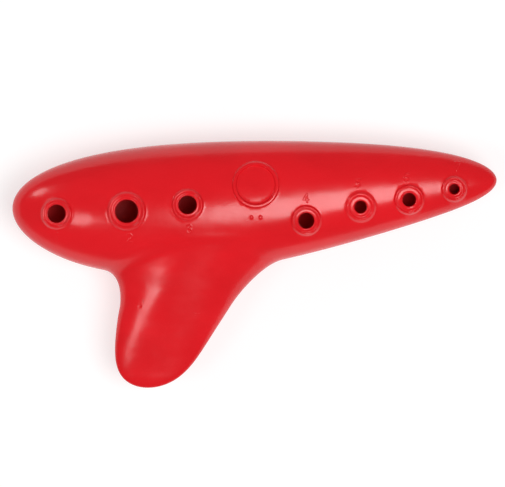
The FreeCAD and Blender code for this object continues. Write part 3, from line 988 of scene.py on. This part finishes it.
def paint_shell(mesh, side):
    """Polished plastic outside, and the duller finish of the core inside the sound chamber."""
    centres = np.empty(3 * len(mesh.polygons))
    mesh.polygons.foreach_get("center", centres)
    x, y, z = centres.reshape(-1, 3).T / MM
    ceiling = chamber_height(x, y, side)
    inside = (ceiling > 0) & (side * (z - PARTING) < ceiling + CORE_MARGIN)
    mesh.materials.clear()
    mesh.materials.append(shell_plastic)
    mesh.materials.append(chamber_plastic)
    mesh.polygons.foreach_set("material_index", inside.astype(np.int32))


def place_shell(mesh, node, side, mouth=None):
    """Puts a moulded half in place of its CAD node, with the windway's mouth cut where given."""
    piece = add_object(mesh)
    if mouth:
        cut_away(piece, mouth)
    smooth_with_crisp_edges(piece.data)
    paint_shell(piece.data, side)
    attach(piece, "root")
    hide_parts(node)


place_shell(front_shell_mesh(), "front_shell", FRONT)
place_shell(back_shell_mesh(), "back_shell", BACK, windway_mouth_mesh())
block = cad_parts["windway_block"]
if not block.material_slots:
    block.data.materials.append(block_plastic)
for slot in block.material_slots:
    slot.material = block_plastic


# ------------------------------------------------------------------ floor, light and camera

FLOOR_SIZE, FLOOR_GAP = 6.0, 0.0001
FLOOR_GREYS, FLOOR_GLOW = (0.42, 0.45), 0.64


def pale_floor():
    """Plain floor; its own faint glow brings it near the photograph's white background."""
    bpy.ops.mesh.primitive_plane_add(size=FLOOR_SIZE, location=(0.0, 0.0, cad_box[0][2] - FLOOR_GAP))
    floor = bpy.context.object
    floor.name = "floor"
    nodes = Nodes("floor_paper")
    tone = nodes.noise(9.0, detail=3.0)
    greys = [(grey, grey, grey) for grey in FLOOR_GREYS]
    nodes.link(nodes.blend(tone, *greys), nodes.shader.inputs["Base Color"])
    nodes.shader.inputs["Roughness"].default_value = 0.9
    nodes.shader.inputs["Specular IOR Level"].default_value = 0.2
    nodes.shader.inputs["Emission Color"].default_value = (1.0, 1.0, 1.0, 1.0)
    nodes.shader.inputs["Emission Strength"].default_value = FLOOR_GLOW
    floor.data.materials.append(nodes.material)


LIGHT_DISTANCE, WORLD_LIGHT = 1.5, 0.21


def softbox(name, direction, wide, tall, radiance):
    """Oval softbox that faces the object and isn't seen by the camera."""
    light = bpy.data.lights.new(name, "AREA")
    light.shape = "ELLIPSE"
    light.size, light.size_y = wide, tall
    area = math.pi * wide * tall / 4
    light.energy = radiance * math.pi * area
    lamp = bpy.data.objects.new(name, light)
    toward = Vector(direction).normalized()
    lamp.location = toward * LIGHT_DISTANCE
    lamp.rotation_euler = toward.to_track_quat("Z", "Y").to_euler()
    lamp.visible_camera = False
    bpy.context.scene.collection.objects.link(lamp)


def light_the_scene():
    softbox("main_softbox", (0.30, -0.17, 1.0), wide=0.75, tall=0.90, radiance=7.9)
    softbox("left_softbox", (-0.58, -0.22, 1.0), wide=0.46, tall=0.42, radiance=6.5)
    softbox("shoulder_light", (-0.90, 0.70, 0.48), wide=0.35, tall=0.35, radiance=6.8)
    world = bpy.data.worlds.new("studio")
    world.use_nodes = True
    backdrop = world.node_tree.nodes["Background"]
    backdrop.inputs["Color"].default_value = (1.0, 1.0, 1.0, 1.0)
    backdrop.inputs["Strength"].default_value = WORLD_LIGHT
    bpy.context.scene.world = world


VIEW_WIDTH, VIEW_CENTRE, CAMERA_DISTANCE = 0.1668, (-0.00066, 0.0069), 2.5


def add_camera():
    camera = bpy.data.cameras.new("photo_camera")
    camera.sensor_width = 36.0
    camera.lens = camera.sensor_width * (CAMERA_DISTANCE - PARTING * MM) / VIEW_WIDTH
    camera.clip_end = 20.0
    eye = bpy.data.objects.new("photo_camera", camera)
    eye.location = (*VIEW_CENTRE, CAMERA_DISTANCE)
    bpy.context.scene.collection.objects.link(eye)
    bpy.context.scene.camera = eye


bpy.context.scene.view_settings.view_transform = "Standard"
pale_floor()
light_the_scene()
add_camera()

bpy.context.view_layer.update()
